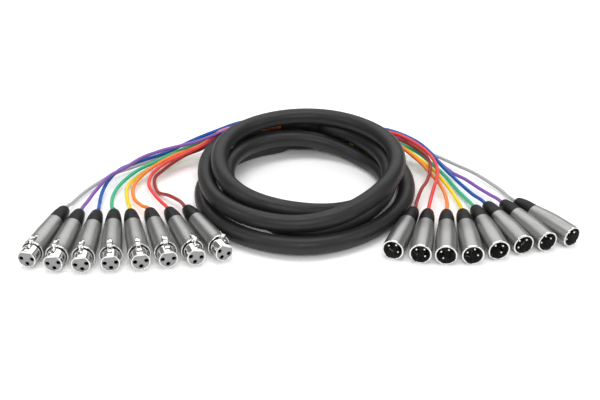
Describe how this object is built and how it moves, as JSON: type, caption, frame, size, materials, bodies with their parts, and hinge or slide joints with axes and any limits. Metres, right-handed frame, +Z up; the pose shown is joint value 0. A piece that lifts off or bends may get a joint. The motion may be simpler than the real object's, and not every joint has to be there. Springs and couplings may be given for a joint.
{
  "type": "audio snake cable",
  "caption": "Audio snake cable: a coiled multicore trunk whose coloured leads fan out at each end to round latching socket plugs and pin plugs.",
  "frame": {"origin": "on the table under the middle of the whole cable as it lies", "axes": "+X to the right from the socket plugs to the pin plugs, +Y away from the plugs' fronts to the back of the coil, +Z up"},
  "size_m": [0.482, 0.2579, 0.0499],
  "materials": {
    "trunk": "satin flexible jacket",
    "sleeve": "satin moulded sleeve",
    "shell": "satin nickel plate on a die casting",
    "latch": "bright nickel plate",
    "moulding": "moulded plastic and rubber",
    "lead_brown": "satin flexible jacket",
    "lead_red": "satin flexible jacket",
    "lead_orange": "satin flexible jacket",
    "lead_yellow": "satin flexible jacket",
    "lead_green": "satin flexible jacket",
    "lead_blue": "satin flexible jacket",
    "lead_violet": "satin flexible jacket",
    "lead_grey": "satin flexible jacket"
  },
  "bodies": {
    "snake": {"trunk_cable": "trunk", "breakout_sleeve_left": "sleeve", "breakout_sleeve_right": "sleeve", "socket_plug_1_shell": "shell", "socket_plug_1_core": "moulding", "socket_lead_1_grey": "lead_grey", "socket_plug_2_shell": "shell", "socket_plug_2_core": "moulding", "socket_lead_2_violet": "lead_violet", "socket_plug_3_shell": "shell", "socket_plug_3_core": "moulding", "socket_lead_3_blue": "lead_blue", "socket_plug_4_shell": "shell", "socket_plug_4_core": "moulding", "socket_lead_4_green": "lead_green", "socket_plug_5_shell": "shell", "socket_plug_5_core": "moulding", "socket_lead_5_yellow": "lead_yellow", "socket_plug_6_shell": "shell", "socket_plug_6_core": "moulding", "socket_lead_6_orange": "lead_orange", "socket_plug_7_shell": "shell", "socket_plug_7_core": "moulding", "socket_lead_7_red": "lead_red", "socket_plug_8_shell": "shell", "socket_plug_8_core": "moulding", "socket_lead_8_brown": "lead_brown", "pin_plug_1_shell": "shell", "pin_plug_1_core": "moulding", "pin_lead_1_brown": "lead_brown", "pin_plug_2_shell": "shell", "pin_plug_2_core": "moulding", "pin_lead_2_red": "lead_red", "pin_plug_3_shell": "shell", "pin_plug_3_core": "moulding", "pin_lead_3_orange": "lead_orange", "pin_plug_4_shell": "shell", "pin_plug_4_core": "moulding", "pin_lead_4_yellow": "lead_yellow", "pin_plug_5_shell": "shell", "pin_plug_5_core": "moulding", "pin_lead_5_green": "lead_green", "pin_plug_6_shell": "shell", "pin_plug_6_core": "moulding", "pin_lead_6_blue": "lead_blue", "pin_plug_7_shell": "shell", "pin_plug_7_core": "moulding", "pin_lead_7_violet": "lead_violet", "pin_plug_8_shell": "shell", "pin_plug_8_core": "moulding", "pin_lead_8_grey": "lead_grey"},
    "socket_plug_1_latch": {"socket_plug_1_latch": "latch"},
    "socket_plug_2_latch": {"socket_plug_2_latch": "latch"},
    "socket_plug_3_latch": {"socket_plug_3_latch": "latch"},
    "socket_plug_4_latch": {"socket_plug_4_latch": "latch"},
    "socket_plug_5_latch": {"socket_plug_5_latch": "latch"},
    "socket_plug_6_latch": {"socket_plug_6_latch": "latch"},
    "socket_plug_7_latch": {"socket_plug_7_latch": "latch"},
    "socket_plug_8_latch": {"socket_plug_8_latch": "latch"}
  },
  "joints": [
    {"name": "socket_plug_1_latch_hinge", "type": "hinge", "parent": "snake", "child": "socket_plug_1_latch", "pos_m": [-0.2298, -0.10232, 0.01785], "axis": [0.9833, -0.1822, 0], "range_deg": [0, 6], "stiffness_Nm_per_rad": 0.05, "springref_deg": -5.73},
    {"name": "socket_plug_2_latch_hinge", "type": "hinge", "parent": "snake", "child": "socket_plug_2_latch", "pos_m": [-0.20947, -0.10837, 0.01777], "axis": [0.9875, -0.0742, 0.1392], "range_deg": [0, 6], "stiffness_Nm_per_rad": 0.05, "springref_deg": -5.73},
    {"name": "socket_plug_3_latch_hinge", "type": "hinge", "parent": "snake", "child": "socket_plug_3_latch", "pos_m": [-0.18755, -0.11012, 0.01777], "axis": [0.9901, 0.0173, 0.1392], "range_deg": [0, 6], "stiffness_Nm_per_rad": 0.05, "springref_deg": -5.73},
    {"name": "socket_plug_4_latch_hinge", "type": "hinge", "parent": "snake", "child": "socket_plug_4_latch", "pos_m": [-0.16455, -0.1083, 0.01784], "axis": [0.9911, 0.1287, 0.0349], "range_deg": [0, 6], "stiffness_Nm_per_rad": 0.05, "springref_deg": -5.73},
    {"name": "socket_plug_5_latch_hinge", "type": "hinge", "parent": "snake", "child": "socket_plug_5_latch", "pos_m": [-0.14161, -0.10644, 0.01785], "axis": [0.9668, 0.2554, 0], "range_deg": [0, 6], "stiffness_Nm_per_rad": 0.05, "springref_deg": -5.73},
    {"name": "socket_plug_6_latch_hinge", "type": "hinge", "parent": "snake", "child": "socket_plug_6_latch", "pos_m": [-0.1196, -0.10289, 0.01782], "axis": [0.9436, 0.3194, -0.0872], "range_deg": [0, 6], "stiffness_Nm_per_rad": 0.05, "springref_deg": -5.73},
    {"name": "socket_plug_7_latch_hinge", "type": "hinge", "parent": "snake", "child": "socket_plug_7_latch", "pos_m": [-0.09625, -0.09951, 0.0175], "axis": [0.8803, 0.3737, -0.2924], "range_deg": [0, 6], "stiffness_Nm_per_rad": 0.05, "springref_deg": -5.73},
    {"name": "socket_plug_8_latch_hinge", "type": "hinge", "parent": "snake", "child": "socket_plug_8_latch", "pos_m": [-0.07348, -0.09243, 0.01678], "axis": [0.7604, 0.4146, -0.5], "range_deg": [0, 6], "stiffness_Nm_per_rad": 0.05, "springref_deg": -5.73}
  ]
}
